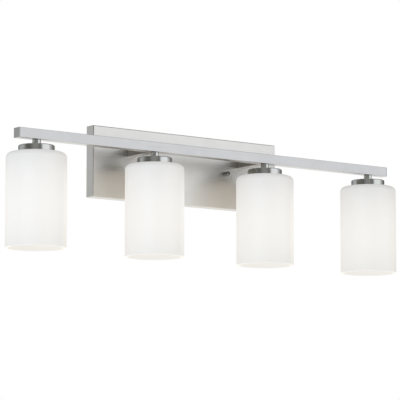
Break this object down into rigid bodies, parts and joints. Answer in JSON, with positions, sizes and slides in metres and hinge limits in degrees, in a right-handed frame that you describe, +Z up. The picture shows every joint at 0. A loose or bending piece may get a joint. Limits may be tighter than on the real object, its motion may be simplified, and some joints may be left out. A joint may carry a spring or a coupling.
{
  "type": "vanity light bar",
  "caption": "Wall-mounted vanity light: a square metal bar on two arms from a rectangular back plate, with cylindrical opal glass shades hanging below it, each around its own bulb.",
  "frame": {"origin": "on the wall plane, at the centre of the back plate and of the rear face of the mounting strap", "axes": "+Z up, +Y into the wall, +X along the light bar"},
  "size_m": [0.794, 0.137, 0.2217],
  "materials": {
    "satin_nickel": "satin nickel plate, finely brushed along the bar",
    "polished_nickel": "bright nickel plate on turned steel",
    "zinc_plated_steel": "bright zinc plate",
    "aluminium": "turned, knurled",
    "brass": "rolled thread, bare",
    "bare_copper": "drawn wire",
    "green_screw": "green anodised",
    "porcelain": "glazed white",
    "opal_glass": "white cased glass, satin etched",
    "frosted_glass": "inside frosted, warm white",
    "black_insulation": "extruded wire insulation",
    "white_insulation": "extruded wire insulation",
    "orange_nylon": "moulded",
    "yellow_nylon": "moulded"
  },
  "bodies": {
    "fixture": {"back_plate": "satin_nickel", "mounting_strap": "zinc_plated_steel", "plate_stud_left": "zinc_plated_steel", "plate_stud_right": "zinc_plated_steel", "stud_nut_left": "zinc_plated_steel", "stud_nut_right": "zinc_plated_steel", "ground_screw": "green_screw", "ground_wire": "bare_copper", "arm_left": "satin_nickel", "arm_right": "satin_nickel", "arm_pipe_left": "zinc_plated_steel", "arm_pipe_right": "zinc_plated_steel", "arm_nut_left": "zinc_plated_steel", "arm_nut_right": "zinc_plated_steel", "light_bar": "satin_nickel", "bar_end_plug_left": "satin_nickel", "bar_end_plug_right": "satin_nickel", "black_harness": "black_insulation", "white_harness": "white_insulation", "wire_nut_black": "orange_nylon", "wire_nut_white": "yellow_nylon", "stem_1": "polished_nickel", "nipple_1": "zinc_plated_steel", "fitter_cap_1": "polished_nickel", "socket_1": "porcelain", "socket_shell_1": "brass", "stem_2": "polished_nickel", "nipple_2": "zinc_plated_steel", "fitter_cap_2": "polished_nickel", "socket_2": "porcelain", "socket_shell_2": "brass", "stem_3": "polished_nickel", "nipple_3": "zinc_plated_steel", "fitter_cap_3": "polished_nickel", "socket_3": "porcelain", "socket_shell_3": "brass", "stem_4": "polished_nickel", "nipple_4": "zinc_plated_steel", "fitter_cap_4": "polished_nickel", "socket_4": "porcelain", "socket_shell_4": "brass"},
    "bulb_1": {"bulb_glass_1": "frosted_glass", "bulb_base_1": "brass"},
    "ring_1": {"shade_ring_1": "aluminium"},
    "shade_body_1": {"shade_1": "opal_glass"},
    "bulb_2": {"bulb_glass_2": "frosted_glass", "bulb_base_2": "brass"},
    "ring_2": {"shade_ring_2": "aluminium"},
    "shade_body_2": {"shade_2": "opal_glass"},
    "bulb_3": {"bulb_glass_3": "frosted_glass", "bulb_base_3": "brass"},
    "ring_3": {"shade_ring_3": "aluminium"},
    "shade_body_3": {"shade_3": "opal_glass"},
    "bulb_4": {"bulb_glass_4": "frosted_glass", "bulb_base_4": "brass"},
    "ring_4": {"shade_ring_4": "aluminium"},
    "shade_body_4": {"shade_4": "opal_glass"},
    "cap_nut_left": {"cap_nut_left": "satin_nickel"},
    "cap_nut_right": {"cap_nut_right": "satin_nickel"}
  },
  "joints": [
    {"name": "bulb_1_out", "type": "slide", "parent": "fixture", "child": "bulb_1", "axis": [0, 0, -1], "range_m": [0, 0.24]},
    {"name": "ring_1_off", "type": "slide", "parent": "fixture", "child": "ring_1", "axis": [0, 0, -1], "range_m": [0, 0.205]},
    {"name": "shade_1_off", "type": "slide", "parent": "fixture", "child": "shade_body_1", "axis": [0, 0, -1], "range_m": [0, 0.049]},
    {"name": "bulb_2_out", "type": "slide", "parent": "fixture", "child": "bulb_2", "axis": [0, 0, -1], "range_m": [0, 0.24]},
    {"name": "ring_2_off", "type": "slide", "parent": "fixture", "child": "ring_2", "axis": [0, 0, -1], "range_m": [0, 0.205]},
    {"name": "shade_2_off", "type": "slide", "parent": "fixture", "child": "shade_body_2", "axis": [0, 0, -1], "range_m": [0, 0.049]},
    {"name": "bulb_3_out", "type": "slide", "parent": "fixture", "child": "bulb_3", "axis": [0, 0, -1], "range_m": [0, 0.24]},
    {"name": "ring_3_off", "type": "slide", "parent": "fixture", "child": "ring_3", "axis": [0, 0, -1], "range_m": [0, 0.205]},
    {"name": "shade_3_off", "type": "slide", "parent": "fixture", "child": "shade_body_3", "axis": [0, 0, -1], "range_m": [0, 0.049]},
    {"name": "bulb_4_out", "type": "slide", "parent": "fixture", "child": "bulb_4", "axis": [0, 0, -1], "range_m": [0, 0.24]},
    {"name": "ring_4_off", "type": "slide", "parent": "fixture", "child": "ring_4", "axis": [0, 0, -1], "range_m": [0, 0.205]},
    {"name": "shade_4_off", "type": "slide", "parent": "fixture", "child": "shade_body_4", "axis": [0, 0, -1], "range_m": [0, 0.049]},
    {"name": "cap_nut_left_off", "type": "slide", "parent": "fixture", "child": "cap_nut_left", "axis": [0, -1, 0], "range_m": [0, 0.03]},
    {"name": "cap_nut_right_off", "type": "slide", "parent": "fixture", "child": "cap_nut_right", "axis": [0, -1, 0], "range_m": [0, 0.03]}
  ],
  "couplings": [
    {"joint": "ring_1_off", "follows": "bulb_1_out", "ratio": 0.85},
    {"joint": "shade_1_off", "follows": "bulb_1_out", "ratio": 0.2},
    {"joint": "ring_2_off", "follows": "bulb_2_out", "ratio": 0.85},
    {"joint": "shade_2_off", "follows": "bulb_2_out", "ratio": 0.2},
    {"joint": "ring_3_off", "follows": "bulb_3_out", "ratio": 0.85},
    {"joint": "shade_3_off", "follows": "bulb_3_out", "ratio": 0.2},
    {"joint": "ring_4_off", "follows": "bulb_4_out", "ratio": 0.85},
    {"joint": "shade_4_off", "follows": "bulb_4_out", "ratio": 0.2}
  ]
}
